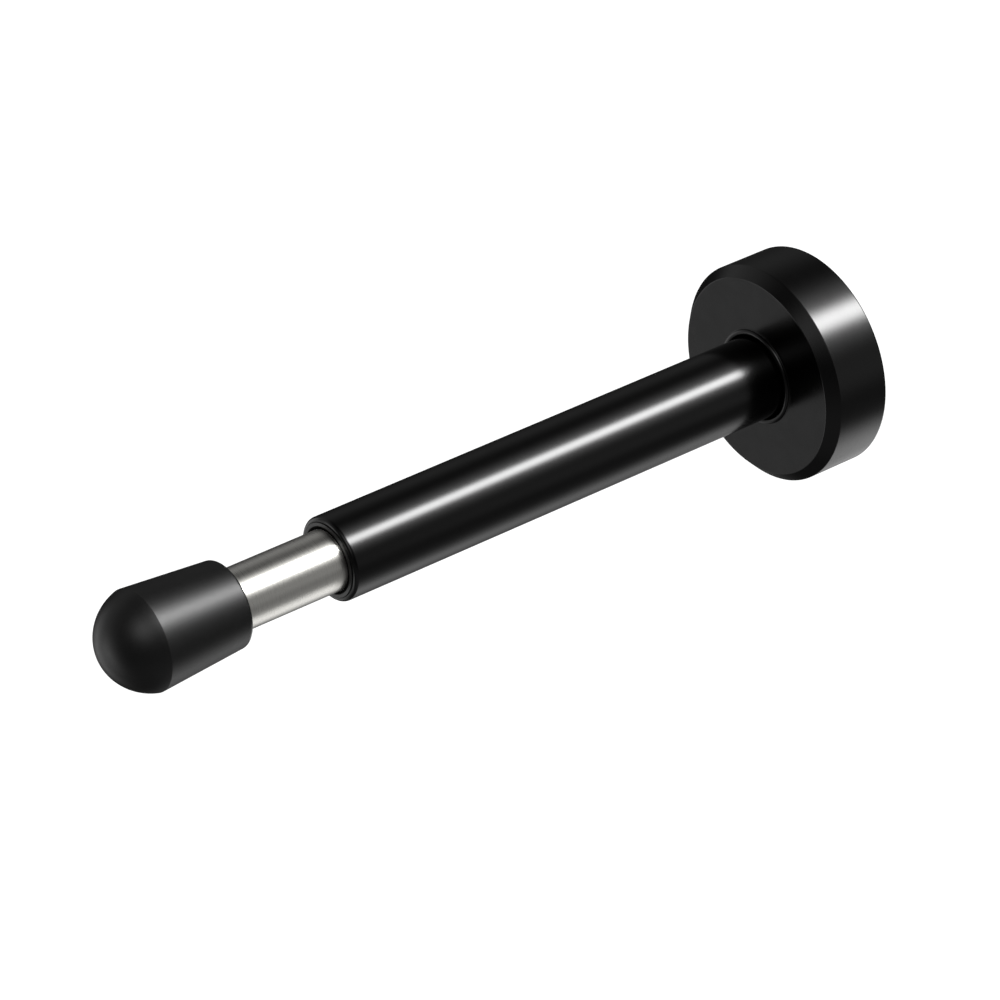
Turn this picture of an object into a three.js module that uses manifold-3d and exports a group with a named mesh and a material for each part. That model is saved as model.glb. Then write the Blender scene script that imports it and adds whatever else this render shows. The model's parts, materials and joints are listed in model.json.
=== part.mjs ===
// Wall-mounted door security bar: a flanged tube with a spring-buffered rod and a rubber nose.
// Millimetres. The wall is the plane y = 0, the bar points along -Y and +Z is up.
// Every turned outline is a list of [distance from the wall, radius] pairs.
import * as THREE from "three";
import { mergeVertices } from "three/addons/utils/BufferGeometryUtils.js";
import Module from "manifold-3d";

const wasm = await Module();
wasm.setup();

// ---------------------------------------------------------------- driving dimensions
const GAP = 0.3; // clearance left between pieces that touch
const EDGE = 0.4; // chamfer on turned edges
const FINE = 60; // facets round the large turned pieces
const COARSE = 32; // facets round the small ones
const HOLE_FACETS = 16; // facets round holes and small screws
const OVERRUN = 1; // how far a cutter reaches past the faces that it cuts

const TUBE = { radius: 11, wall: 1.2, mouth: 156.4, mouthRound: 0.95 };
const ROD = { radius: 8, stroke: 29.5 };

// The round cover of the flange: a cup, open towards the wall.
const ROSE = { radius: 29.5, length: 18.5, rim: 2.5, front: 3.5, wallRound: 0.6 };
const ROSE_LIP = { hole: 11.4, round: 0.75, rise: 0.15 }; // rounded lip on the face, round the tube
const ROSE_CHAMFER = { along: 2.8, across: 2.7 };

// The steel plate under the cover, with a boss that holds the tube.
const PLATE = { thickness: 6, socketFloor: 4, bossWall: 5.2 };
const WALL_SCREW = { count: 3, circle: 21.4, hole: 2.4, head: 4.5 };
const GRUB = { radius: 1.9, length: 5, point: 0.9, hole: 2.2, sunk: 0.2 };
const GRUB_KEY = { radius: 1.15, depth: 2.2 };

const SPRING = { wire: 1.5, mean: 7.45, coils: 14, deadCoils: 1, closedGap: 0.15, facets: 12 };
const PLUG = { spigot: 10, tip: 1.5 };
const CUP = { flange: 2.1, spigot: 5, tip: 1, bore: 3 };
const WASHER_THICKNESS = 1.1;

const PISTON = { rear: 85, front: 97.7, spigot: 5, bearing: 4 };
const PISTON_SCREW = { head: 5.4, headRim: 0.3, shank: 2.7, length: 14 };
const PISTON_KEY = { radius: 2.3, depth: 2.4 };
const WEAR_RING = { rear: 91, length: 3.6, depth: 1.1, halfGap: 0.06 };

const BUSH = { length: 22, proud: 0.3, felt: 3.4 };
const REBOUND_LENGTH = 3;
const CIRCLIP = { thickness: 1, groove: 0.7, width: 0.9, halfGap: 0.16, lugAngle: 0.2, eye: 0.45 };

const NOSE = { clearance: 0.7, rearRadius: 11.3, rearRound: 1.2, crease: 211.7, creaseRadius: 13.2 };
const DOME = { tip: 222.5, halfLength: 14.6 }; // part of an ellipse: halfLength is along the bar
const NOSE_SOCKET = 201; // how far the rod's socket reaches into the nose
const STUD = { radius: 3.7, start: 191, end: 207.4, point: 0.8 };
const STUD_KEY = { radius: 2.3, depth: 4 };
const CORE = { radius: 9, length: 7.5, neck: 1.6, lip: 2, slope: 0.8 };

// ---------------------------------------------------------------- worked-out places
const TUBE_BORE = TUBE.radius - TUBE.wall;
const TUBE_ROOT = PLATE.socketFloor + GAP;
const IN_TUBE = TUBE_BORE - GAP; // outside of what is fixed in the tube
const SLIDES_IN_TUBE = IN_TUBE - 0.1;
const ON_ROD = ROD.radius + GAP; // inside of what sits on the rod

const ROSE_INNER = ROSE.radius - ROSE.rim;
const PLATE_RADIUS = ROSE_INNER - EDGE;
const SOCKET_RADIUS = TUBE.radius + GAP;
const BOSS_RADIUS = SOCKET_RADIUS + PLATE.bossWall;
const BOSS_END = ROSE.length - ROSE.front - GAP;
const SOCKET_SCREW_AT = 10;
const ROSE_SCREW_AT = PLATE.thickness / 2;

const PLUG_SHOULDER = 14;
const THRUST_FRONT = PISTON.rear - GAP;
const CUP_FRONT = THRUST_FRONT - WASHER_THICKNESS - GAP;
const CUP_SEAT = CUP_FRONT - CUP.flange;
const SPRING_START = PLUG_SHOULDER + GAP;
const SPRING_END = CUP_SEAT - GAP;
const IN_SPRING = SPRING.mean - SPRING.wire / 2 - 0.7; // outside of what centres the spring

const ROD_SHOULDER = PISTON.front + GAP;
const ROD_END = NOSE_SOCKET - GAP;
const BUSH_FRONT = TUBE.mouth + BUSH.proud;
const BUSH_REAR = BUSH_FRONT - BUSH.length;
const REBOUND_FRONT = BUSH_REAR - GAP;
const STOP_WASHER_FRONT = REBOUND_FRONT - REBOUND_LENGTH - GAP;
const CIRCLIP_FRONT = STOP_WASHER_FRONT - WASHER_THICKNESS - GAP;

const NOSE_REAR = TUBE.mouth + ROD.stroke + NOSE.clearance;
const CORE_REAR = NOSE_SOCKET + GAP;
const CORE_FRONT = CORE_REAR + CORE.length;

// ---------------------------------------------------------------- materials
function material(color, roughness, metalness) {
  return new THREE.MeshStandardMaterial({ color, roughness, metalness });
}
const GLOSS_BLACK = material(0x0b0b0c, 0.18, 0.4);
const SATIN_BLACK = material(0x141415, 0.45, 0.3);
const BRUSHED_STEEL = material(0xb9b6b0, 0.32, 1);
const ZINC = material(0xa9adb2, 0.4, 1);
const SPRING_STEEL = material(0x7d8086, 0.35, 1);
const BLACK_OXIDE = material(0x232427, 0.5, 0.8);
const DARK_NYLON = material(0x2a2a2c, 0.55, 0);
const ACETAL = material(0xd8d6cf, 0.5, 0);
const BEARING_POLYMER = material(0x6d5a3c, 0.6, 0.2);
const FELT = material(0x6f6a60, 0.95, 0);
const RUBBER = material(0x101011, 0.7, 0);

// ---------------------------------------------------------------- outlines
// A rectangle with both outer corners chamfered: a washer, ring or bush.
function ringOutline(rear, front, inner, outer, edge = 0.2) {
  return [
    [rear, inner],
    [rear, outer - edge],
    [rear + edge, outer],
    [front - edge, outer],
    [front, outer - edge],
    [front, inner],
  ];
}

// A round stretch about [along, across], between two angles in degrees; 0 points away from the wall.
function arc(along, across, radius, from, to, steps = 4) {
  return Array.from({ length: steps + 1 }, (_, i) => {
    const angle = THREE.MathUtils.degToRad(THREE.MathUtils.lerp(from, to, i / steps));
    return [along + radius * Math.cos(angle), across + radius * Math.sin(angle)];
  });
}

// ---------------------------------------------------------------- making and cutting solids
// A solid of revolution about the bar's axis. An outline that starts off the axis is closed on itself.
function turned(outline, facets = COARSE) {
  const points = outline.map(([along, radius]) => new THREE.Vector2(radius, -along));
  if (THREE.ShapeUtils.area(points) < 0) points.reverse();
  if (outline[0][1] > 0) points.push(points[0].clone());
  return new THREE.LatheGeometry(points, facets);
}

function toSolid(geometry) {
  const bare = geometry.clone();
  bare.deleteAttribute("normal");
  bare.deleteAttribute("uv");
  const merged = mergeVertices(bare, 1e-4);
  const vertProperties = new Float32Array(merged.attributes.position.array);
  const triVerts = new Uint32Array(merged.index.array);
  return new wasm.Manifold(new wasm.Mesh({ numProp: 3, vertProperties, triVerts }));
}

function toGeometry(solid) {
  const { vertProperties, triVerts } = solid.getMesh();
  const geometry = new THREE.BufferGeometry();
  geometry.setAttribute("position", new THREE.BufferAttribute(vertProperties, 3));
  geometry.setIndex(new THREE.BufferAttribute(triVerts, 1));
  const faceted = geometry.toNonIndexed();
  faceted.computeVertexNormals();
  return faceted;
}

function cut(geometry, cutters) {
  const whole = toSolid(geometry);
  return toGeometry(cutters.reduce((left, cutter) => left.subtract(toSolid(cutter)), whole));
}

// A round cutter square to the bar's axis, from one radius to another, at an angle round it from +X.
function radialCutter(angle, along, radius, from, to) {
  const cutter = new THREE.CylinderGeometry(radius, radius, to - from, HOLE_FACETS);
  cutter.translate(0, (from + to) / 2, 0);
  cutter.rotateZ(-Math.PI / 2);
  cutter.rotateY(-angle);
  return cutter.translate(0, -along, 0);
}

// A hexagon socket cut down from y = top.
function keyCutter(top, { radius, depth }) {
  const cutter = new THREE.CylinderGeometry(radius, radius, depth + OVERRUN, 6);
  return cutter.translate(0, top + (OVERRUN - depth) / 2, 0);
}

// A split ring extruded from the XY plane, with its gap at +X and perhaps a lug at each end. Angles are
// in radians.
function splitRing(inner, outer, thickness, halfGap, lug) {
  const end = 2 * Math.PI - halfGap;
  const shape = new THREE.Shape();
  if (lug) {
    shape.absarc(0, 0, outer, halfGap + lug.angle, end - lug.angle, false);
    shape.absarc(0, 0, lug.outer, end - lug.angle, end, false);
  } else {
    shape.absarc(0, 0, outer, halfGap, end, false);
  }
  shape.absarc(0, 0, inner, end, halfGap, true);
  if (lug) shape.absarc(0, 0, lug.outer, halfGap, halfGap + lug.angle, false);
  return new THREE.ExtrudeGeometry(shape, { depth: thickness, bevelEnabled: false, curveSegments: 18 });
}

// Stands a ring extruded from the XY plane across the bar, with its front face at a place along it.
function acrossBar(flatRing, thickness, front) {
  return flatRing.rotateX(Math.PI / 2).translate(0, thickness - front, 0);
}

const bar = new THREE.Group();

function add(name, geometry, finish, parent = bar) {
  const mesh = new THREE.Mesh(geometry, finish);
  mesh.name = name;
  parent.add(mesh);
  return mesh;
}

// ---------------------------------------------------------------- flange
const UNDERSIDE = -Math.PI / 2;
const SOCKET_SCREW_ANGLES = [30, 150, 270].map(THREE.MathUtils.degToRad);

function roseCover() {
  const { radius, length, front, wallRound } = ROSE;
  const { hole, round: lipRound, rise } = ROSE_LIP;
  const inside = length - front;
  const cup = turned(
    [
      [0, ROSE_INNER],
      ...arc(wallRound, radius - wallRound, wallRound, 180, 90),
      [length - ROSE_CHAMFER.along, radius],
      [length, radius - ROSE_CHAMFER.across],
      [length, hole + 2 * lipRound],
      ...arc(length + rise, hole + lipRound, lipRound, 90, -90),
      [inside, hole],
      [inside, ROSE_INNER],
    ],
    FINE,
  );
  const outside = radius + OVERRUN;
  return cut(cup, [radialCutter(UNDERSIDE, ROSE_SCREW_AT, GRUB.hole, ROSE_INNER - OVERRUN, outside)]);
}

// A countersunk hole for a wall screw, parallel to the bar's axis.
function wallScrewCutter(angle) {
  const { circle, hole, head } = WALL_SCREW;
  const face = PLATE.thickness;
  const cutter = turned(
    [
      [-OVERRUN, 0],
      [-OVERRUN, hole],
      [face - (head - hole), hole],
      [face, head],
      [face + OVERRUN, head],
      [face + OVERRUN, 0],
    ],
    HOLE_FACETS,
  );
  return cutter.translate(circle * Math.cos(angle), 0, circle * Math.sin(angle));
}

function mountingPlate() {
  const { thickness, socketFloor } = PLATE;
  const plate = turned(
    [
      [0, 0],
      [0, PLATE_RADIUS - EDGE],
      [EDGE, PLATE_RADIUS],
      [thickness - EDGE, PLATE_RADIUS],
      [thickness, PLATE_RADIUS - EDGE],
      [thickness, BOSS_RADIUS],
      [BOSS_END - EDGE, BOSS_RADIUS],
      [BOSS_END, BOSS_RADIUS - EDGE],
      [BOSS_END, SOCKET_RADIUS + EDGE],
      [BOSS_END - EDGE, SOCKET_RADIUS],
      [socketFloor, SOCKET_RADIUS],
      [socketFloor, 0],
    ],
    FINE,
  );
  const wallHoles = Array.from({ length: WALL_SCREW.count }, (_, i) =>
    wallScrewCutter(Math.PI / 2 + (2 * Math.PI * i) / WALL_SCREW.count),
  );
  const tappedHoles = SOCKET_SCREW_ANGLES.map((angle) =>
    radialCutter(angle, SOCKET_SCREW_AT, GRUB.hole, SOCKET_RADIUS - OVERRUN, BOSS_RADIUS + OVERRUN),
  );
  const pocketFloor = ROSE.radius - GRUB.sunk - GRUB.length - GAP;
  const pocket = radialCutter(UNDERSIDE, ROSE_SCREW_AT, GRUB.hole, pocketFloor, PLATE_RADIUS + OVERRUN);
  return cut(plate, [...wallHoles, ...tappedHoles, pocket]);
}

// A set screw whose point is at y = 0, with its hexagon socket at the top.
function grubScrew() {
  const { radius, length, point } = GRUB;
  const body = turned(
    [
      [0, 0],
      [0, radius - point],
      [-point, radius],
      [EDGE - length, radius],
      [-length, radius - EDGE],
      [-length, 0],
    ],
    HOLE_FACETS,
  );
  return cut(body, [keyCutter(length, GRUB_KEY)]);
}

// Sets a grub screw so that it points at the bar's axis, with its point at a radius.
function addGrubScrew(name, angle, along, pointRadius, finish) {
  const arm = new THREE.Group();
  arm.position.y = -along;
  arm.rotation.y = -angle;
  bar.add(arm);
  const screw = add(name, grubScrew(), finish, arm);
  screw.rotation.z = -Math.PI / 2;
  screw.position.x = pointRadius;
}

add("rose_cover", roseCover(), GLOSS_BLACK);
add("mounting_plate", mountingPlate(), SATIN_BLACK);
const rosePoint = ROSE.radius - GRUB.sunk - GRUB.length;
addGrubScrew("rose_grub_screw", UNDERSIDE, ROSE_SCREW_AT, rosePoint, BLACK_OXIDE);
SOCKET_SCREW_ANGLES.forEach((angle, i) => {
  addGrubScrew(`socket_grub_screw_${i + 1}`, angle, SOCKET_SCREW_AT, TUBE.radius + GAP, ZINC);
});

// ---------------------------------------------------------------- tube and what is fixed in it
function outerTube() {
  const { radius, mouth, mouthRound } = TUBE;
  const burr = 0.2; // light chamfer on the remaining corners
  return turned(
    [
      [TUBE_ROOT, TUBE_BORE],
      [TUBE_ROOT, radius - burr],
      [TUBE_ROOT + burr, radius],
      ...arc(mouth - mouthRound, radius - mouthRound, mouthRound, 90, 0),
      [mouth, TUBE_BORE + burr],
      [mouth - burr, TUBE_BORE],
    ],
    FINE,
  );
}

function basePlug() {
  const end = PLUG_SHOULDER + PLUG.spigot;
  return turned([
    [TUBE_ROOT, 0],
    [TUBE_ROOT, IN_TUBE - EDGE],
    [TUBE_ROOT + EDGE, IN_TUBE],
    [PLUG_SHOULDER, IN_TUBE],
    [PLUG_SHOULDER, IN_SPRING],
    [end - PLUG.tip, IN_SPRING],
    [end, IN_SPRING - PLUG.tip],
    [end, 0],
  ]);
}

function frontBush() {
  const bore = ROD.radius + GAP;
  const feltPocket = BUSH_REAR + BUSH.felt + 2 * GAP;
  const feltRadius = IN_TUBE - EDGE;
  return turned(
    [
      [BUSH_REAR, feltRadius],
      [BUSH_REAR, IN_TUBE],
      [BUSH_FRONT - EDGE, IN_TUBE],
      [BUSH_FRONT, IN_TUBE - EDGE],
      [BUSH_FRONT, bore + EDGE],
      [BUSH_FRONT - EDGE, bore],
      [feltPocket, bore],
      [feltPocket, feltRadius],
    ],
    FINE,
  );
}

function wiperRing() {
  const rear = BUSH_REAR + GAP;
  return turned(ringOutline(rear, rear + BUSH.felt, ROD.radius + GAP / 2, IN_TUBE - EDGE - GAP / 2));
}

// The spring's centre line: its end coils nearly touch, and the pitch opens out between them.
class CoilCurve extends THREE.Curve {
  getPoint(t, target = new THREE.Vector3()) {
    const { coils, deadCoils, wire, mean, closedGap } = SPRING;
    const closedPitch = wire + closedGap;
    const openCoils = coils - 2 * deadCoils;
    const openPitch = (SPRING_END - SPRING_START - wire - 2 * deadCoils * closedPitch) / openCoils;
    const turn = t * coils;
    const firstDead = Math.min(turn, deadCoils);
    const open = THREE.MathUtils.clamp(turn - deadCoils, 0, openCoils);
    const lastDead = Math.max(turn - deadCoils - openCoils, 0);
    const along = SPRING_START + wire / 2 + (firstDead + lastDead) * closedPitch + open * openPitch;
    const angle = 2 * Math.PI * turn;
    return target.set(mean * Math.cos(angle), -along, mean * Math.sin(angle));
  }
}

function returnSpring() {
  const section = new THREE.Shape().absarc(0, 0, SPRING.wire / 2, 0, 2 * Math.PI);
  return new THREE.ExtrudeGeometry(section, {
    steps: SPRING.coils * SPRING.facets,
    curveSegments: 4,
    extrudePath: new CoilCurve(),
  });
}

add("outer_tube", outerTube(), GLOSS_BLACK);
add("base_plug", basePlug(), ZINC);
add("return_spring", returnSpring(), SPRING_STEEL);
add("front_bush", frontBush(), DARK_NYLON);
add("wiper_ring", wiperRing(), FELT);

// ---------------------------------------------------------------- spring follower
function springCup() {
  const { spigot, tip, bore } = CUP;
  const end = CUP_SEAT - spigot;
  return turned([
    [CUP_FRONT, bore],
    [CUP_FRONT, SLIDES_IN_TUBE - EDGE],
    [CUP_FRONT - EDGE, SLIDES_IN_TUBE],
    [CUP_SEAT, SLIDES_IN_TUBE],
    [CUP_SEAT, IN_SPRING],
    [end + tip, IN_SPRING],
    [end, IN_SPRING - tip],
    [end, bore],
  ]);
}

function thrustWasher() {
  return turned(ringOutline(THRUST_FRONT - WASHER_THICKNESS, THRUST_FRONT, CUP.bore, SLIDES_IN_TUBE - EDGE));
}

add("spring_cup", springCup(), ZINC);
add("thrust_washer", thrustWasher(), BEARING_POLYMER);

// ---------------------------------------------------------------- rod and what turns with it
function piston() {
  const { rear, front, spigot, bearing } = PISTON;
  const outer = SLIDES_IN_TUBE;
  const bore = spigot + GAP;
  const screwHead = PISTON_SCREW.head + GAP;
  const screwHole = PISTON_SCREW.shank + 2 * GAP;
  const groove = outer - WEAR_RING.depth;
  return turned(
    [
      [rear, screwHead],
      [rear, outer - EDGE],
      [rear + EDGE, outer],
      [WEAR_RING.rear, outer],
      [WEAR_RING.rear, groove],
      [WEAR_RING.rear + WEAR_RING.length, groove],
      [WEAR_RING.rear + WEAR_RING.length, outer],
      [front - EDGE, outer],
      [front, outer - EDGE],
      [front, bore],
      [rear + bearing, bore],
      [rear + bearing, screwHole],
      [rear + screwHead - screwHole, screwHole],
    ],
    FINE,
  );
}

function wearRing() {
  const slack = GAP / 2;
  const inner = SLIDES_IN_TUBE - WEAR_RING.depth + slack;
  const outer = TUBE_BORE - slack;
  const width = WEAR_RING.length - 2 * slack;
  const flat = splitRing(inner, outer, width, WEAR_RING.halfGap);
  return acrossBar(flat, width, WEAR_RING.rear + slack + width);
}

function pistonScrew() {
  const { head, headRim, shank, length } = PISTON_SCREW;
  const start = PISTON.rear;
  const end = start + length;
  const body = turned([
    [start, 0],
    [start, head],
    [start + headRim, head - headRim],
    [start + head - shank, shank],
    [end - EDGE, shank],
    [end, shank - EDGE],
    [end, 0],
  ]);
  return cut(body, [keyCutter(-start, PISTON_KEY)]);
}

function plungerRod() {
  const { radius } = ROD;
  const spigotEnd = PISTON.rear + PISTON.bearing + GAP;
  const screwHole = { radius: PISTON_SCREW.shank + GAP, end: PISTON.rear + PISTON_SCREW.length + 2 };
  const studHole = { radius: STUD.radius + GAP, end: STUD.start - 1 };
  const groove = radius - CIRCLIP.groove;
  const grooveRear = CIRCLIP_FRONT - CIRCLIP.thickness - GAP;
  const grooveFront = CIRCLIP_FRONT + GAP;
  return turned(
    [
      [screwHole.end, 0],
      [screwHole.end, screwHole.radius],
      [spigotEnd, screwHole.radius],
      [spigotEnd, PISTON.spigot],
      [ROD_SHOULDER, PISTON.spigot],
      [ROD_SHOULDER, radius - EDGE],
      [ROD_SHOULDER + EDGE, radius],
      [grooveRear, radius],
      [grooveRear, groove],
      [grooveFront, groove],
      [grooveFront, radius],
      [ROD_END - EDGE, radius],
      [ROD_END, radius - EDGE],
      [ROD_END, studHole.radius],
      [studHole.end, studHole.radius],
      [studHole.end, 0],
    ],
    FINE,
  );
}

function rodCirclip() {
  const { thickness, groove, width, halfGap, lugAngle, eye } = CIRCLIP;
  const inner = ROD.radius - groove + GAP;
  const lug = { angle: lugAngle, outer: IN_TUBE - GAP / 2 };
  const flat = splitRing(inner, ROD.radius + width, thickness, halfGap, lug);
  const eyeRadius = (inner + IN_TUBE) / 2;
  const eyes = [1, -1].map((side) => {
    const angle = side * (halfGap + lugAngle / 2);
    const cutter = new THREE.CylinderGeometry(eye, eye, 2 * (thickness + OVERRUN), 10);
    cutter.rotateX(Math.PI / 2);
    return cutter.translate(eyeRadius * Math.cos(angle), eyeRadius * Math.sin(angle), 0);
  });
  return acrossBar(cut(flat, eyes), thickness, CIRCLIP_FRONT);
}

function stopWasher() {
  return turned(ringOutline(STOP_WASHER_FRONT - WASHER_THICKNESS, STOP_WASHER_FRONT, ON_ROD, SLIDES_IN_TUBE));
}

function reboundRing() {
  const outer = SLIDES_IN_TUBE - GAP / 2;
  return turned(ringOutline(REBOUND_FRONT - REBOUND_LENGTH, REBOUND_FRONT, ON_ROD, outer, EDGE));
}

add("piston", piston(), ACETAL);
add("piston_wear_ring", wearRing(), BEARING_POLYMER);
add("piston_screw", pistonScrew(), ZINC);
add("plunger_rod", plungerRod(), BRUSHED_STEEL);
add("rod_circlip", rodCirclip(), BLACK_OXIDE);
add("stop_washer", stopWasher(), ZINC);
add("rebound_ring", reboundRing(), RUBBER);

// ---------------------------------------------------------------- nose
function noseStud() {
  const { radius, start, end, point } = STUD;
  const body = turned([
    [start, 0],
    [start, radius - point],
    [start + point, radius],
    [end - point, radius],
    [end, radius - point],
    [end, 0],
  ]);
  return cut(body, [keyCutter(-start, STUD_KEY)]);
}

// The steel core has a groove round it, which keys it into the rubber.
function noseCore() {
  const { radius, neck, lip, slope } = CORE;
  const tapped = STUD.radius + GAP;
  return turned([
    [STUD.end + GAP, 0],
    [STUD.end + GAP, tapped],
    [CORE_REAR, tapped],
    [CORE_REAR, radius - EDGE],
    [CORE_REAR + EDGE, radius],
    [CORE_REAR + lip, radius],
    [CORE_REAR + lip + slope, radius - neck],
    [CORE_FRONT - lip - slope, radius - neck],
    [CORE_FRONT - lip, radius],
    [CORE_FRONT - EDGE, radius],
    [CORE_FRONT, radius - EDGE],
    [CORE_FRONT, 0],
  ]);
}

// The dome's outline, from the crease to the tip: part of an ellipse that meets the cone at an angle.
function domeOutline(steps = 10) {
  const { tip, halfLength } = DOME;
  const centre = tip - halfLength;
  const first = Math.asin((NOSE.crease - centre) / halfLength);
  const halfWidth = NOSE.creaseRadius / Math.cos(first);
  return Array.from({ length: steps + 1 }, (_, i) => {
    const angle = THREE.MathUtils.lerp(first, Math.PI / 2, i / steps);
    const radius = i === steps ? 0 : halfWidth * Math.cos(angle);
    return [centre + halfLength * Math.sin(angle), radius];
  });
}

function rubberNose() {
  const { rearRadius, rearRound } = NOSE;
  const cavity = CORE.radius + GAP;
  return turned(
    [
      [CORE_FRONT + GAP, 0],
      [CORE_FRONT + GAP, cavity],
      [NOSE_SOCKET, cavity],
      [NOSE_SOCKET, ON_ROD],
      [NOSE_REAR, ON_ROD],
      ...arc(NOSE_REAR + rearRound, rearRadius - rearRound, rearRound, 180, 90),
      ...domeOutline(),
    ],
    FINE,
  );
}

add("nose_stud", noseStud(), ZINC);
add("nose_core", noseCore(), ZINC);
add("rubber_nose", rubberNose(), RUBBER);

export default bar;
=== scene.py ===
"""Looks for the door security bar: fine turned pieces, procedural finishes, soft studio light.

The bar's axis is the Y axis, with the wall at y = 0 and the nose towards -Y. Outlines are in
millimetres: each point is (distance from the wall, radius, fillet). Blender objects are in metres.
"""

import json
import math

import bmesh
import bpy
from mathutils import Matrix, Vector

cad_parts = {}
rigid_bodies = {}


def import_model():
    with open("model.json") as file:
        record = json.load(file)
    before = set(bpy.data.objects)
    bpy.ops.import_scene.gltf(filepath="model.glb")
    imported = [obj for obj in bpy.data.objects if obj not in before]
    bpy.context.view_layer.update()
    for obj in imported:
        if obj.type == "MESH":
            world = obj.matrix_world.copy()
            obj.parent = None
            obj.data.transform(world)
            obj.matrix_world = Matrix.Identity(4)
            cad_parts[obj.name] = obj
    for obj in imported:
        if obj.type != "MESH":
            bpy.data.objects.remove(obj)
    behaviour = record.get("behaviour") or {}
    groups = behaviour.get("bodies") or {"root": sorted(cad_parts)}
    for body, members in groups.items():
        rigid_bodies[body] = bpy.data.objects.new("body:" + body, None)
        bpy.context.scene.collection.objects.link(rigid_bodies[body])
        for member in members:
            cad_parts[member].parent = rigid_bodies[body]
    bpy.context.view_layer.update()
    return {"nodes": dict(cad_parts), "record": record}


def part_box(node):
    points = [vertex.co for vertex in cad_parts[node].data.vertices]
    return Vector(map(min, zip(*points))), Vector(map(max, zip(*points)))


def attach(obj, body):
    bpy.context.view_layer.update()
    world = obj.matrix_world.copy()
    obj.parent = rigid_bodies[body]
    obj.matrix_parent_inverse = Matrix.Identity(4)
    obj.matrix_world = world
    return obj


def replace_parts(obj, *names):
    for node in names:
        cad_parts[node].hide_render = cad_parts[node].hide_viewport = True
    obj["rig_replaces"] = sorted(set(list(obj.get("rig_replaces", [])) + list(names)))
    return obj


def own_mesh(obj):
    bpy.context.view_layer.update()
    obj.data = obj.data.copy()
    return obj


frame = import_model()

MM = 0.001
FINE = 192  # facets round the large turned pieces
SMALL = 64  # facets round the wall screw holes
HOLE_FACETS = 48  # facets round the holes square to the bar
SHARP = math.radians(29)  # edges that turn more than this stay crisp
FILLET_STEP = math.radians(11)
FILLET_SUPPORT = 0.02  # how far beside a fillet its support points sit
AXIS_RADIUS = 1e-6  # an outline point nearer the axis than this is on it
OVERRUN = 1.0  # how far a cutter reaches past the faces that it cuts
GAP = 0.3  # clearance between pieces that touch, as in the CAD
BUSH_WIPER = 8.85  # outside radius of the recess where the bush wipes the rod


# ---------------------------------------------------------------- mesh helpers
def span(node):
    """Where a turned CAD node starts and ends along the bar, and its radius, in millimetres."""
    lo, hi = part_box(node)
    return -hi.y / MM, -lo.y / MM, hi.x / MM


def filleted(corners, closed):
    """The outline with each corner rounded to its fillet radius, and a support point on either side."""
    points = []
    count = len(corners)
    for i, (along, radius, fillet) in enumerate(corners):
        here = Vector((along, radius))
        end = not closed and i in (0, count - 1)
        if fillet <= 0 or end:
            points.append(here)
            continue
        before = (Vector(corners[i - 1][:2]) - here).normalized()
        after = (Vector(corners[(i + 1) % count][:2]) - here).normalized()
        turn = math.pi - before.angle(after)
        reach = fillet * math.tan(turn / 2)
        centre = here + (before + after).normalized() * fillet / math.cos(turn / 2)
        first = here + before * reach - centre
        side = 1 if before.x * after.y - before.y * after.x < 0 else -1
        steps = max(2, math.ceil(turn / FILLET_STEP))
        points.append(here + before * (reach + FILLET_SUPPORT))
        for k in range(steps + 1):
            angle = side * turn * k / steps
            c, s = math.cos(angle), math.sin(angle)
            points.append(centre + Vector((first.x * c - first.y * s, first.x * s + first.y * c)))
        points.append(here + after * (reach + FILLET_SUPPORT))
    return points


def new_piece(name, bm):
    """A smooth-shaded object from a bmesh, with crisp edges where faces meet at a strong angle."""
    bmesh.ops.recalc_face_normals(bm, faces=bm.faces)
    mesh = bpy.data.meshes.new(name)
    bm.to_mesh(mesh)
    bm.free()
    mesh.shade_smooth()
    mesh.set_sharp_from_angle(angle=SHARP)
    piece = bpy.data.objects.new(name, mesh)
    bpy.context.scene.collection.objects.link(piece)
    return piece


def turned(name, corners, facets=FINE):
    """A solid of revolution about the bar's axis."""
    closed = corners[0][1] > 0
    outline = filleted(corners, closed)
    angles = [2 * math.pi * k / facets for k in range(facets)]
    bm = bmesh.new()
    rings = []
    for along, radius in outline:
        if radius < AXIS_RADIUS:
            rings.append([bm.verts.new((0, -along * MM, 0))] * facets)
            continue
        ring = [(radius * MM * math.cos(a), -along * MM, radius * MM * math.sin(a)) for a in angles]
        rings.append([bm.verts.new(point) for point in ring])
    pairs = list(zip(rings, rings[1:] + rings[:1]))
    for one, two in pairs if closed else pairs[:-1]:
        for k in range(facets):
            n = (k + 1) % facets
            face = dict.fromkeys((one[k], one[n], two[n], two[k]))
            if len(face) > 2:
                bm.faces.new(face)
    return new_piece(name, bm)


def cut(piece, cutters):
    """Takes the cutters out of a piece."""
    for cutter in cutters:
        modifier = piece.modifiers.new("cut", "BOOLEAN")
        modifier.object = cutter
        modifier.operation = "DIFFERENCE"
        modifier.solver = "EXACT"
    graph = bpy.context.evaluated_depsgraph_get()
    mesh = bpy.data.meshes.new_from_object(piece.evaluated_get(graph))
    piece.modifiers.clear()
    piece.data = mesh
    mesh.shade_smooth()
    mesh.set_sharp_from_angle(angle=SHARP)
    for cutter in cutters:
        bpy.data.objects.remove(cutter)
    return piece


def place(piece, matrix):
    piece.data.transform(matrix)
    return piece


def radial(angle, along):
    """Points a piece made along the bar's axis outward, at an angle round the bar."""
    outward = Matrix.Rotation(-angle, 4, "Y") @ Matrix.Rotation(math.pi / 2, 4, "Z")
    return Matrix.Translation((0, -along * MM, 0)) @ outward


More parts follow.
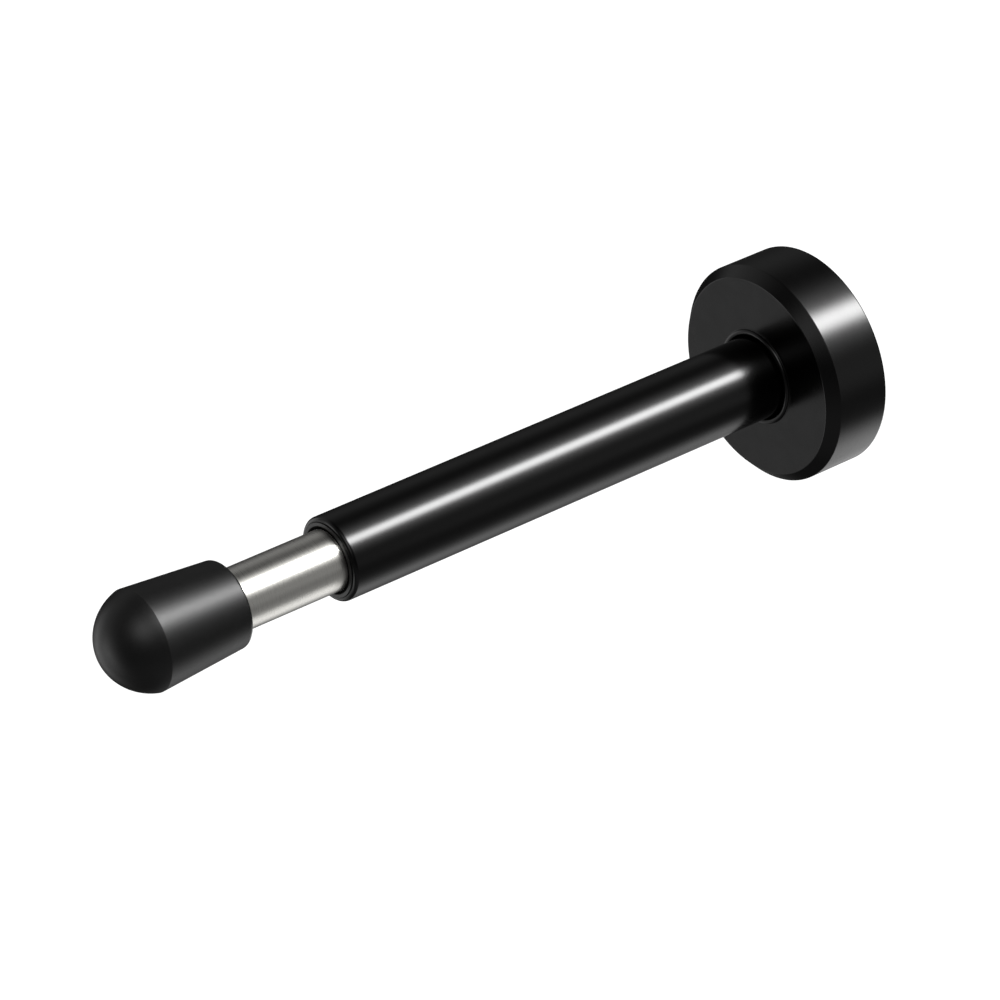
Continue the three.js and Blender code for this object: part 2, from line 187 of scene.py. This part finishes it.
# ---------------------------------------------------------------- node helpers
class Finish:
    """A node material around one Principled shader, on object coordinates in metres."""

    def __init__(self, name, color, roughness, metallic=0.0, **settings):
        self.material = bpy.data.materials.new(name)
        self.material.use_nodes = True
        self.tree = self.material.node_tree
        self.shader = self.tree.nodes["Principled BSDF"]
        self.shader.inputs["Base Color"].default_value = (*color, 1)
        self.shader.inputs["Roughness"].default_value = roughness
        self.shader.inputs["Metallic"].default_value = metallic
        for key, value in settings.items():
            self.shader.inputs[key.replace("_", " ")].default_value = value
        self.coordinates = self.node("ShaderNodeTexCoord").outputs["Object"]
        self.bump = None

    def node(self, kind, links=(), **settings):
        made = self.tree.nodes.new(kind)
        for key, value in settings.items():
            if key in made.inputs.keys():
                made.inputs[key].default_value = value
            else:
                setattr(made, key, value)
        for name, output in dict(links).items():
            self.tree.links.new(output, made.inputs[name])
        return made

    def noise(self, scale, detail=3.0, stretch=(1, 1, 1), roughness=0.5):
        """A noise field with about `scale` features to the millimetre."""
        mapped = self.node("ShaderNodeMapping", {"Vector": self.coordinates})
        mapped.inputs["Scale"].default_value = [scale * s / MM for s in stretch]
        field = self.node("ShaderNodeTexNoise", {"Vector": mapped.outputs[0]})
        field.inputs["Scale"].default_value = 1
        field.inputs["Detail"].default_value = detail
        field.inputs["Roughness"].default_value = roughness
        return field.outputs["Fac"]

    def spread(self, field, low, high, start=0.3, end=0.7):
        """The field from start to end, turned into values from low to high."""
        ranged = self.node("ShaderNodeMapRange", {"Value": field})
        for key, value in (("From Min", start), ("From Max", end), ("To Min", low), ("To Max", high)):
            ranged.inputs[key].default_value = value
        return ranged.outputs["Result"]

    def vary_roughness(self, field, low, high, **ends):
        self.tree.links.new(self.spread(field, low, high, **ends), self.shader.inputs["Roughness"])
        return self

    def vary_color(self, field, dark, light, **ends):
        mix = self.node("ShaderNodeMix", {"Factor": self.spread(field, 0, 1, **ends)}, data_type="RGBA")
        mix.inputs["A"].default_value = (*dark, 1)
        mix.inputs["B"].default_value = (*light, 1)
        color = next(o for o in mix.outputs if o.type == "RGBA" and o.enabled)
        self.tree.links.new(color, self.shader.inputs["Base Color"])
        return self

    def add_bump(self, field, height, strength=1.0):
        """Adds relief of a height in millimetres."""
        bump = self.node("ShaderNodeBump", {"Height": field})
        bump.inputs["Strength"].default_value = strength
        bump.inputs["Distance"].default_value = height * MM
        if self.bump:
            self.tree.links.new(self.bump, bump.inputs["Normal"])
        self.bump = bump.outputs["Normal"]
        self.tree.links.new(self.bump, self.shader.inputs["Normal"])
        return self

    def tangent_round_bar(self):
        tangent = self.node("ShaderNodeTangent", direction_type="RADIAL", axis="Y")
        self.tree.links.new(tangent.outputs[0], self.shader.inputs["Tangent"])
        return self


def gray(value, warm=0.0):
    return (value * (1 + warm), value, value * (1 - warm))


# ---------------------------------------------------------------- finishes
def gloss_black():
    finish = Finish("gloss_black", gray(0.0002), 0.185, IOR=1.3)
    finish.vary_roughness(finish.noise(0.35, 4), 0.175, 0.195)
    finish.vary_color(finish.noise(0.8, 5), gray(0.0001), gray(0.0003, 0.03))
    finish.add_bump(finish.noise(0.9, 2), 0.0004)
    return finish.material


def satin_black():
    finish = Finish("satin_black", gray(0.012), 0.45)
    finish.vary_roughness(finish.noise(0.6, 5), 0.38, 0.52)
    finish.vary_color(finish.noise(0.25, 6), gray(0.009), gray(0.018))
    finish.add_bump(finish.noise(2.2, 4), 0.012)
    return finish.material


def brushed_rod():
    steel = (0.62, 0.6, 0.58)
    finish = Finish("brushed_rod", steel, 0.3, 1.0, Anisotropic=0.82, Anisotropic_Rotation=0.25)
    finish.tangent_round_bar()
    lines = finish.noise(12, 3, stretch=(0.02, 1, 0.02))
    finish.vary_roughness(lines, 0.26, 0.34)
    finish.vary_color(lines, (0.57, 0.562, 0.53), (0.67, 0.66, 0.625))
    finish.add_bump(lines, 0.0005)
    return finish.material


def rubber():
    finish = Finish("rubber", gray(0.0007), 0.41, IOR=1.31)
    finish.vary_roughness(finish.noise(1.1, 5), 0.39, 0.43)
    finish.vary_color(finish.noise(0.3, 6), gray(0.0005), gray(0.0009))
    finish.add_bump(finish.noise(3.5, 3), 0.002)
    return finish.material


def plated(name, color, roughness, brush=(1, 1, 1)):
    """Plated or bare steel with a slightly uneven surface."""
    finish = Finish(name, color, roughness, 1.0)
    field = finish.noise(3, 5, stretch=brush)
    finish.vary_roughness(field, roughness - 0.08, roughness + 0.1)
    finish.vary_color(finish.noise(0.7, 4), [0.85 * c for c in color], [min(1, 1.1 * c) for c in color])
    finish.add_bump(field, 0.003)
    return finish.material


def moulded(name, color, roughness, grain=2.5, height=0.008):
    """Moulded or turned plastic, or felt with a large grain."""
    finish = Finish(name, color, roughness)
    field = finish.noise(grain, 5)
    finish.vary_roughness(field, roughness - 0.07, min(1, roughness + 0.08))
    finish.vary_color(finish.noise(grain / 3, 4), [0.8 * c for c in color], [1.2 * c for c in color])
    finish.add_bump(field, height)
    return finish.material


def nylon():
    """Dark nylon. Inside the recess round the rod its reflection is turned off, a painted shade that
    keeps the recess black.
    """
    finish = Finish("dark_nylon", gray(0.003), 0.38, IOR=1.33)
    field = finish.noise(2.5, 5)
    finish.vary_roughness(field, 0.32, 0.44)
    finish.vary_color(finish.noise(0.8, 4), gray(0.002), gray(0.004))
    finish.add_bump(field, 0.006)
    links = {"Vector": finish.coordinates}
    across_bar = finish.node("ShaderNodeMapping", links, Scale=(1 / MM, 0, 1 / MM)).outputs[0]
    radius = finish.node("ShaderNodeVectorMath", {"Vector": across_bar}, operation="LENGTH")
    # Painted shade: the reflection is zero inside the recess radius, so the recess stays black.
    painted_shade_in_recess = finish.spread(radius.outputs["Value"], 0, 0.5, start=BUSH_WIPER - 0.1, end=BUSH_WIPER)
    finish.tree.links.new(painted_shade_in_recess, finish.shader.inputs["Specular IOR Level"])
    return finish.material


FINISHES = {
    "gloss_black": gloss_black(),
    "satin_black": satin_black(),
    "brushed_rod": brushed_rod(),
    "rubber": rubber(),
    "black_oxide": plated("black_oxide", (0.03, 0.03, 0.032), 0.45),
    "zinc": plated("zinc", (0.55, 0.57, 0.6), 0.4),
    "spring_steel": plated("spring_steel", (0.35, 0.36, 0.38), 0.35),
    "dark_nylon": nylon(),
    "bearing_polymer": moulded("bearing_polymer", (0.15, 0.1, 0.05), 0.6),
    "acetal": moulded("acetal", (0.66, 0.64, 0.6), 0.45),
    "felt": moulded("felt", (0.15, 0.14, 0.12), 0.95, grain=4, height=0.08),
}


def dress(piece, node, slot, body):
    """Gives a finished piece its material, and has it stand for its CAD node."""
    piece.data.materials.clear()
    piece.data.materials.append(FINISHES[slot])
    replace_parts(piece, node)
    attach(piece, body)
    return piece


# ---------------------------------------------------------------- flange
UNDERSIDE = -math.pi / 2
COVER_RIM, COVER_FRONT = 2.5, 3.5  # wall thicknesses of the cover
CHAMFER_ALONG, CHAMFER_ACROSS = 2.8, 2.7
LIP_HOLE, LIP_WIDTH, LIP_RISE, LIP_ROUND = 11.4, 1.5, 0.9, 0.72  # the lip round the tube
PLATE_THICKNESS, SOCKET_FLOOR = 6.0, 4.0
BOSS_RADIUS, SOCKET_RADIUS = 16.5, 11.3
GRUB_HOLE = 2.2
SOCKET_SCREW_AT, COVER_SCREW_AT = 10, 3
COVER_SCREW_POCKET = 24  # radius of the pocket's floor
WALL_SCREWS = {"count": 3, "circle": 21.4, "hole": 2.4, "head": 4.5}
SOCKET_ANGLES = [math.radians(a) for a in (30, 150, 270)]


def radial_hole(angle, along, start, end, lead=0.25):
    """A cutter for a hole square to the bar, with a small lead-in at its outer end."""
    corners = [
        (start, 0, 0),
        (start, GRUB_HOLE, 0),
        (end - OVERRUN - lead, GRUB_HOLE, 0),
        (end + OVERRUN, GRUB_HOLE + OVERRUN + lead, 0),
        (end + OVERRUN, 0, 0),
    ]
    return place(turned("cutter", corners, HOLE_FACETS), radial(angle, along))


def rose_cover():
    start, end, radius = span("rose_cover")
    face = end - LIP_RISE
    inner, back = radius - COVER_RIM, face - COVER_FRONT
    corners = [
        (start, inner, 0.15),
        (start, radius, 0.6),
        (face - CHAMFER_ALONG, radius, 0.3),
        (face, radius - CHAMFER_ACROSS, 0.3),
        (face, LIP_HOLE + LIP_WIDTH, 0.12),
        (end, LIP_HOLE + LIP_WIDTH, LIP_ROUND),
        (end, LIP_HOLE, LIP_ROUND),
        (back, LIP_HOLE, 0.15),
        (back, inner, 0.8),
    ]
    lo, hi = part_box("rose_grub_screw")
    middle = -(lo.y + hi.y) / 2 / MM
    screw_hole = radial_hole(UNDERSIDE, middle, inner - OVERRUN, radius, 0.15)
    piece = cut(turned("cover_shell", corners), [screw_hole])
    return dress(piece, "rose_cover", "gloss_black", "flange_and_tube")


def wall_screw_hole(number):
    """A cutter for one countersunk hole, parallel to the bar."""
    hole, head = WALL_SCREWS["hole"], WALL_SCREWS["head"]
    corners = [
        (-OVERRUN, 0, 0),
        (-OVERRUN, hole, 0),
        (PLATE_THICKNESS - (head - hole), hole, 0),
        (PLATE_THICKNESS, head, 0),
        (PLATE_THICKNESS + OVERRUN, head, 0),
        (PLATE_THICKNESS + OVERRUN, 0, 0),
    ]
    angle = math.pi / 2 + 2 * math.pi * number / WALL_SCREWS["count"]
    where = Vector((math.cos(angle), 0, math.sin(angle))) * WALL_SCREWS["circle"] * MM
    return place(turned("cutter", corners, SMALL), Matrix.Translation(where))


def mounting_plate():
    start, end, radius = span("mounting_plate")
    corners = [
        (start, 0, 0),
        (start, radius, 0.4),
        (PLATE_THICKNESS, radius, 0.4),
        (PLATE_THICKNESS, BOSS_RADIUS, 0.8),
        (end, BOSS_RADIUS, 0.5),
        (end, SOCKET_RADIUS, 0.5),
        (SOCKET_FLOOR, SOCKET_RADIUS, 0.3),
        (SOCKET_FLOOR, 0, 0),
    ]
    plate = turned("wall_plate", corners)
    cutters = [wall_screw_hole(number) for number in range(WALL_SCREWS["count"])]
    for angle in SOCKET_ANGLES:
        cutters.append(radial_hole(angle, SOCKET_SCREW_AT, SOCKET_RADIUS - OVERRUN, BOSS_RADIUS))
    cutters.append(radial_hole(UNDERSIDE, COVER_SCREW_AT, COVER_SCREW_POCKET, radius))
    return dress(cut(plate, cutters), "mounting_plate", "satin_black", "flange_and_tube")


# ---------------------------------------------------------------- tube, bush and spring
TUBE_WALL = 1.2
BUSH_ON_ROD = 0.08  # gap between the wiping recess's floor and the rod
BUSH_RECESS = 0.15  # depth of that recess
BUSH_HEAD = 3  # length of the bush's head, which fills the tube's mouth
HEAD_STEP = 0.24  # how far the head stands out from the bush's barrel
FELT_POCKET, FELT_WALL = 4, 0.4
SPRING = {"wire": 0.75, "coils": 14, "closed_gap": 0.15, "steps": 48, "sides": 20}  # wire is its radius


def outer_tube():
    start, end, radius = span("outer_tube")
    bore = radius - TUBE_WALL
    corners = [(start, bore, 0.1), (start, radius, 0.2), (end, radius, 1.05), (end, bore, 0.08)]
    return dress(turned("tube_shell", corners), "outer_tube", "gloss_black", "flange_and_tube")


def front_bush():
    start, end, radius = span("front_bush")
    bore, head = span("plunger_rod")[2] + BUSH_ON_ROD, radius + HEAD_STEP
    pocket, felt = start + FELT_POCKET, radius - FELT_WALL
    corners = [
        (start, felt, 0),
        (start, radius, 0.1),
        (end - BUSH_HEAD, radius, 0),
        (end - BUSH_HEAD, head, 0),
        (end, head, 0.12),
        (end, BUSH_WIPER, 0.05),
        (end - BUSH_RECESS, BUSH_WIPER, 0),
        (end - BUSH_RECESS, bore, 0),
        (pocket, bore, 0),
        (pocket, felt, 0),
    ]
    return dress(turned("guide_bush", corners), "front_bush", "dark_nylon", "flange_and_tube")


def return_spring():
    start, end, outer = span("return_spring")
    wire, coils, sides = SPRING["wire"], SPRING["coils"], SPRING["sides"]
    mean, closed_pitch = outer - wire, 2 * wire + SPRING["closed_gap"]
    open_coils = coils - 2
    open_pitch = (end - start - 2 * wire - 2 * closed_pitch) / open_coils
    steps = SPRING["steps"] * coils
    bm = bmesh.new()
    rings = []
    for i in range(steps + 1):
        turn = i * coils / steps
        closed_turns = min(turn, 1) + max(turn - coils + 1, 0)
        open_turns = min(max(turn - 1, 0), open_coils)
        along = start + wire + closed_turns * closed_pitch + open_turns * open_pitch
        angle = 2 * math.pi * turn
        outward = Vector((math.cos(angle), 0, math.sin(angle)))
        centre = outward * mean + Vector((0, -along, 0))
        ring = []
        for k in range(sides):
            a = 2 * math.pi * k / sides
            spoke = outward * math.cos(a) + Vector((0, math.sin(a), 0))
            ring.append(bm.verts.new((centre + spoke * wire) * MM))
        rings.append(ring)
    for one, two in zip(rings, rings[1:]):
        for k in range(sides):
            n = (k + 1) % sides
            bm.faces.new((one[k], one[n], two[n], two[k]))
    bm.faces.new(rings[0])
    bm.faces.new(rings[-1])
    piece = dress(new_piece("coil_spring", bm), "return_spring", "spring_steel", "flange_and_tube")
    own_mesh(piece)
    return piece


# ---------------------------------------------------------------- rod and nose
SPIGOT = {"radius": 5.0, "length": 8.7}  # the rod's inner end, in the piston
SCREW_HOLE = {"radius": 3.0, "depth": 12}
STUD_HOLE = {"radius": 4.0, "depth": 10.7}
CIRCLIP_THICKNESS, CIRCLIP_GROOVE = 1.0, 0.7
NOSE_REAR_RADIUS, CREASE, DOME_HALF_LENGTH = 11.3, 211.7, 14.6  # the crease is from the wall
DOME_STEPS = 40


def plunger_rod():
    start, end, radius = span("plunger_rod")
    shoulder = start + SPIGOT["length"]
    groove_front = -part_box("rod_circlip")[0].y / MM + GAP
    groove_rear = groove_front - CIRCLIP_THICKNESS - 2 * GAP
    corners = [
        (start + SCREW_HOLE["depth"], 0, 0),
        (start + SCREW_HOLE["depth"], SCREW_HOLE["radius"], 0),
        (start, SCREW_HOLE["radius"], 0.2),
        (start, SPIGOT["radius"], 0.2),
        (shoulder, SPIGOT["radius"], 0),
        (shoulder, radius, 0.4),
        (groove_rear, radius, 0),
        (groove_rear, radius - CIRCLIP_GROOVE, 0),
        (groove_front, radius - CIRCLIP_GROOVE, 0),
        (groove_front, radius, 0),
        (end, radius, 0.4),
        (end, STUD_HOLE["radius"], 0.2),
        (end - STUD_HOLE["depth"], STUD_HOLE["radius"], 0),
        (end - STUD_HOLE["depth"], 0, 0),
    ]
    return dress(turned("rod", corners), "plunger_rod", "brushed_rod", "plunger")


def rubber_nose():
    start, tip, radius = span("rubber_nose")
    core_start, core_end, core_radius = span("nose_core")
    rod = span("plunger_rod")[2] + GAP
    corners = [
        (core_end + GAP, 0, 0),
        (core_end + GAP, core_radius + GAP, 0),
        (core_start - GAP, core_radius + GAP, 0),
        (core_start - GAP, rod, 0),
        (start, rod, 0.15),
        (start, NOSE_REAR_RADIUS, 1.2),
        (CREASE, radius, 0.5),
    ]
    centre = tip - DOME_HALF_LENGTH  # the dome is part of an ellipse
    first = math.asin((CREASE - centre) / DOME_HALF_LENGTH)
    half_width = radius / math.cos(first)
    for i in range(1, DOME_STEPS):
        angle = first + (math.pi / 2 - first) * i / DOME_STEPS
        along = centre + DOME_HALF_LENGTH * math.sin(angle)
        corners.append((along, half_width * math.cos(angle), 0))
    corners.append((tip, 0, 0))
    return dress(turned("nose", corners), "rubber_nose", "rubber", "plunger")


rose_cover()
mounting_plate()
outer_tube()
front_bush()
return_spring()
plunger_rod()
rubber_nose()

# ---------------------------------------------------------------- CAD nodes that stay
stood_for = {name for o in bpy.context.scene.objects if "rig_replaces" in o for name in o["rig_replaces"]}
slot_of = {part["node"]: part["material_slot"] for part in frame["record"]["subparts"]}
for name, node in frame["nodes"].items():
    if name not in stood_for:
        node.data.materials.clear()
        node.data.materials.append(FINISHES[slot_of[name]])

# ---------------------------------------------------------------- studio light
BAR_AXIS = Vector((0, 1, 0))
world = bpy.data.worlds.new("studio")
bpy.context.scene.world = world
world.use_nodes = True
tree = world.node_tree
toward = tree.nodes.new("ShaderNodeTexCoord").outputs["Generated"]


def math_node(operation, *values):
    made = tree.nodes.new("ShaderNodeMath")
    made.operation = operation
    for socket, value in zip(made.inputs, values):
        if isinstance(value, (int, float)):
            socket.default_value = value
        else:
            tree.links.new(value, socket)
    return made.outputs[0]


def window(light, direction, across, along, radiance, falloff=1.0):
    """Adds a far, soft-edged window of light, which fades over these sines of an angle."""
    centre = Vector(direction).normalized()
    up = (BAR_AXIS - centre * centre.dot(BAR_AXIS)).normalized()
    facing = Matrix((up.cross(centre), up, centre)).transposed()
    local = tree.nodes.new("ShaderNodeMapping")
    local.vector_type = "TEXTURE"
    local.inputs["Location"].default_value = centre
    local.inputs["Rotation"].default_value = facing.to_euler()
    local.inputs["Scale"].default_value = (across, along, 1)
    tree.links.new(toward, local.inputs["Vector"])
    square = tree.nodes.new("ShaderNodeVectorMath")
    square.operation = "DOT_PRODUCT"
    tree.links.new(local.outputs[0], square.inputs[0])
    tree.links.new(local.outputs[0], square.inputs[1])
    distance = math_node("POWER", square.outputs["Value"], falloff)
    fade = math_node("EXPONENT", math_node("MULTIPLY", distance, -1))
    return math_node("MULTIPLY_ADD", fade, radiance, light)


light = 0.008  # the dim rest of the room
light = window(light, (0.39, 0.54, 0.75), across=0.145, along=0.42, radiance=46, falloff=1.4)  # key
light = window(light, (0.36, 0.59, 0.72), across=0.33, along=0.25, radiance=6)  # glow round the key
light = window(light, (0.41, -0.54, 0.74), across=0.29, along=0.23, radiance=6)  # top front
light = window(light, (-0.48, -0.81, -0.35), across=0.41, along=0.18, radiance=4.2)  # front
light = window(light, (-0.84, -0.33, -0.42), across=0.57, along=0.23, radiance=1.7, falloff=1.6)  # left
light = window(light, (-0.78, -0.39, 0.49), across=0.38, along=0.9, radiance=0.57)  # left, high
light = window(light, (0.8, 0.6, 0.05), across=0.26, along=0.18, radiance=0.5, falloff=1.3)  # right
light = window(light, (0.75, -0.21, -0.62), across=0.59, along=0.9, radiance=0.4)  # right, low
light = window(light, (0.17, 0.45, -0.88), across=0.34, along=0.18, radiance=1.5)  # bounce from below
# bounce from below, on the wall side
light = window(light, (-0.05, 0.71, -0.7), across=0.39, along=0.13, radiance=4.2, falloff=1.9)
seen = tree.nodes.new("ShaderNodeLightPath").outputs["Is Camera Ray"]
strength = math_node("MAXIMUM", light, seen)
tree.links.new(strength, tree.nodes["Background"].inputs["Strength"])
tree.nodes["Background"].inputs["Color"].default_value = (1, 1, 1, 1)

# ---------------------------------------------------------------- floor
FLOOR_DROP = 0.5
bm = bmesh.new()
bmesh.ops.create_grid(bm, x_segments=8, y_segments=8, size=6)
floor = new_piece("floor", bm)
floor.location.z = -FLOOR_DROP
paper = Finish("paper_floor", gray(0.05), 0.9)
paper.shader.inputs["Emission Color"].default_value = (1, 1, 1, 1)
paper.shader.inputs["Emission Strength"].default_value = 0.97
paper.vary_color(paper.noise(0.02, 3), gray(0.04), gray(0.06))
floor.data.materials.append(paper.material)
floor.visible_glossy = False

# ---------------------------------------------------------------- camera
CAMERA_AZIMUTH, CAMERA_ELEVATION = math.radians(51.240), math.radians(32.497)
CAMERA_TARGET, CAMERA_DISTANCE = Vector((0, -0.10317, -0.00403)), 1.10094
back = Vector(
    (
        math.sin(CAMERA_AZIMUTH) * math.cos(CAMERA_ELEVATION),
        -math.cos(CAMERA_AZIMUTH) * math.cos(CAMERA_ELEVATION),
        math.sin(CAMERA_ELEVATION),
    )
)
lens = bpy.data.cameras.new("camera")
lens.lens, lens.sensor_width = 159.49, 36
camera = bpy.data.objects.new("camera", lens)
bpy.context.scene.collection.objects.link(camera)
camera.location = CAMERA_TARGET + back * CAMERA_DISTANCE
camera.rotation_mode = "QUATERNION"
camera.rotation_quaternion = back.to_track_quat("Z", "Y")
bpy.context.scene.camera = camera
bpy.context.scene.view_settings.view_transform = "Standard"
